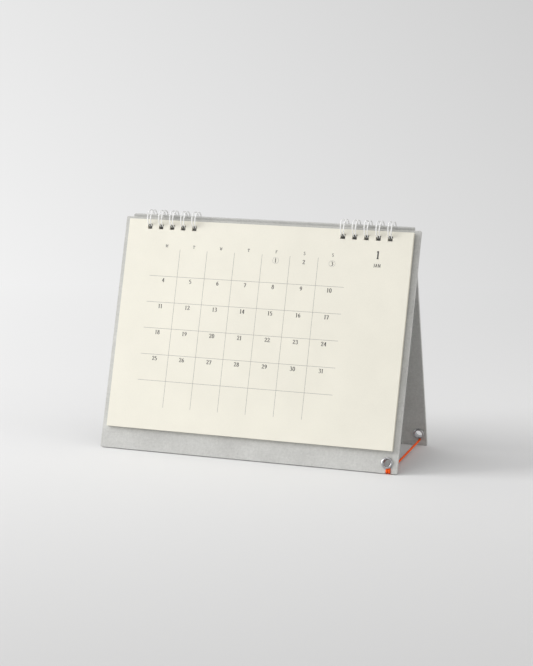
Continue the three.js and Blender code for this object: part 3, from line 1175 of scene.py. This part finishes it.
def floor_material():
    """A pale table with painted light: painted shade dims its front, and further back a glow that
    only the camera sees paints the bright studio, dimmer to the right.
    """
    nodes = Nodes("table_painted_light")
    shade = colours().floor
    apart = nodes.add("ShaderNodeSeparateXYZ", None, {0: nodes.place()})
    x = apart.out("X")
    y = apart.out("Y")
    turned = math.radians(CAMERA_AZIMUTH)
    aside = x * math.cos(turned) + y * math.sin(turned)
    away = y * math.cos(turned) - x * math.sin(turned)
    # Painted shade: the table's colour darkens from the calendar's foot towards the front, in
    # place of the light's fall-off and the board's soft shadow in front of its foot
    near = nodes.ramp(away, FRONT_PAINTED_SHADE_FROM, 0.0)
    nodes.set(base_color=nodes.mix(near, dimmed(shade, FRONT_PAINTED_SHADE), shade))
    nodes.set(roughness=0.8, specular_ior_level=0.2)
    # Painted light: a glow that only the camera sees, whose brightness falls off to the right and
    # with distance, in place of the studio's light on the far table
    reach = nodes.math("MAXIMUM", away + FAN_PLACE, FAN_LEAST)
    close = nodes.math("MINIMUM", 1.0 / reach, GLOW_NEAR_MOST)
    bright = GLOW_BASE + close * GLOW_NEAR - aside / reach * GLOW_SLOPE
    tone = nodes.mix(nodes.ramp(bright, 0.0, 1.0), (0, 0, 0), (1, 1, 1))
    glow = nodes.add(
        "ShaderNodeBsdfPrincipled", None,
        {"Base Color": (0, 0, 0), "Roughness": 1.0, "Specular IOR Level": 0.0,
         "Emission Color": tone, "Emission Strength": 1.0},
    )
    seen = nodes.add("ShaderNodeLightPath").out("Is Camera Ray")
    share = nodes.ramp(away, GLOW_FROM, GLOW_FULL) * seen
    blend = nodes.add("ShaderNodeMixShader", None, {0: share})
    output = nodes.tree.nodes["Material Output"]
    nodes.tree.links.new(nodes.surface.outputs[0], blend.socket.node.inputs[1])
    nodes.tree.links.new(glow.socket, blend.socket.node.inputs[2])
    nodes.tree.links.new(blend.socket, output.inputs["Surface"])
    return nodes.material


class CALENDAR_OT_stage(Operator):
    """Set the camera, the lights, the world and the floor."""

    bl_idname = "calendar.stage"
    bl_label = "Stage"

    def execute(self, context):
        scene = context.scene
        data = bpy.data.cameras.new("camera")
        data.sensor_fit = "HORIZONTAL"
        data.sensor_width = SENSOR_WIDTH
        data.lens = FOCAL_PIXELS / IMAGE_WIDTH * SENSOR_WIDTH
        data.clip_end = 100
        camera = bpy.data.objects.new("camera", data)
        azimuth = Matrix.Rotation(math.radians(CAMERA_AZIMUTH), 4, "Z")
        pitch = Matrix.Rotation(math.radians(90 - CAMERA_PITCH), 4, "X")
        roll = Matrix.Rotation(math.radians(CAMERA_ROLL), 4, "Z")
        camera.matrix_world = Matrix.Translation(CAMERA_PLACE) @ azimuth @ pitch @ roll
        scene.collection.objects.link(camera)
        scene.camera = camera
        scene.view_settings.view_transform = "Standard"
        world = bpy.data.worlds.new("studio")
        world.use_nodes = True
        background = world.node_tree.nodes["Background"]
        background.inputs["Color"].default_value = (*WORLD_COLOUR, 1)
        background.inputs["Strength"].default_value = WORLD_STRENGTH
        scene.world = world
        for lamp in LAMPS:
            add_light(*lamp)
        reach = FLOOR_REACH
        corners = [(-reach, -reach, 0), (reach, -reach, 0), (reach, reach, 0), (-reach, reach, 0)]
        floor = add_mesh("table", [Vector(corner) for corner in corners], [(0, 1, 2, 3)])
        floor.data.materials.append(floor_material())
        return {"FINISHED"}


class CALENDAR_PT_build(Panel):
    """Buttons that build the calendar."""

    bl_idname = "CALENDAR_PT_build"
    bl_label = "Desk calendar"
    bl_space_type = "VIEW_3D"
    bl_region_type = "UI"
    bl_category = "Calendar"

    def draw(self, context):
        for operator in OPERATORS:
            self.layout.operator(operator.bl_idname)
        for group in (context.scene.calendar_sizes, context.scene.calendar_colours):
            for key in group.__annotations__:
                self.layout.prop(group, key)


OPERATORS = (
    CALENDAR_OT_stage,
    CALENDAR_OT_cord,
    CALENDAR_OT_boards,
    CALENDAR_OT_leaves,
    CALENDAR_OT_print,
    CALENDAR_OT_wires,
    CALENDAR_OT_eyelets,
)
CLASSES = (CalendarSizes, CalendarColours, *OPERATORS, CALENDAR_PT_build)


def register():
    """Registers the classes and the scene's properties."""
    for item in CLASSES:
        bpy.utils.register_class(item)
    bpy.types.Scene.calendar_sizes = PointerProperty(type=CalendarSizes)
    bpy.types.Scene.calendar_colours = PointerProperty(type=CalendarColours)


def unregister():
    """Removes what register added."""
    del bpy.types.Scene.calendar_colours
    del bpy.types.Scene.calendar_sizes
    for item in reversed(CLASSES):
        bpy.utils.unregister_class(item)


def main():
    """Builds the calendar."""
    register()
    bpy.ops.calendar.stage()
    bpy.ops.calendar.cord()
    bpy.ops.calendar.boards()
    bpy.ops.calendar.leaves()
    bpy.ops.calendar.print()
    bpy.ops.calendar.wires()
    bpy.ops.calendar.eyelets()


if __name__ == "__main__":
    main()
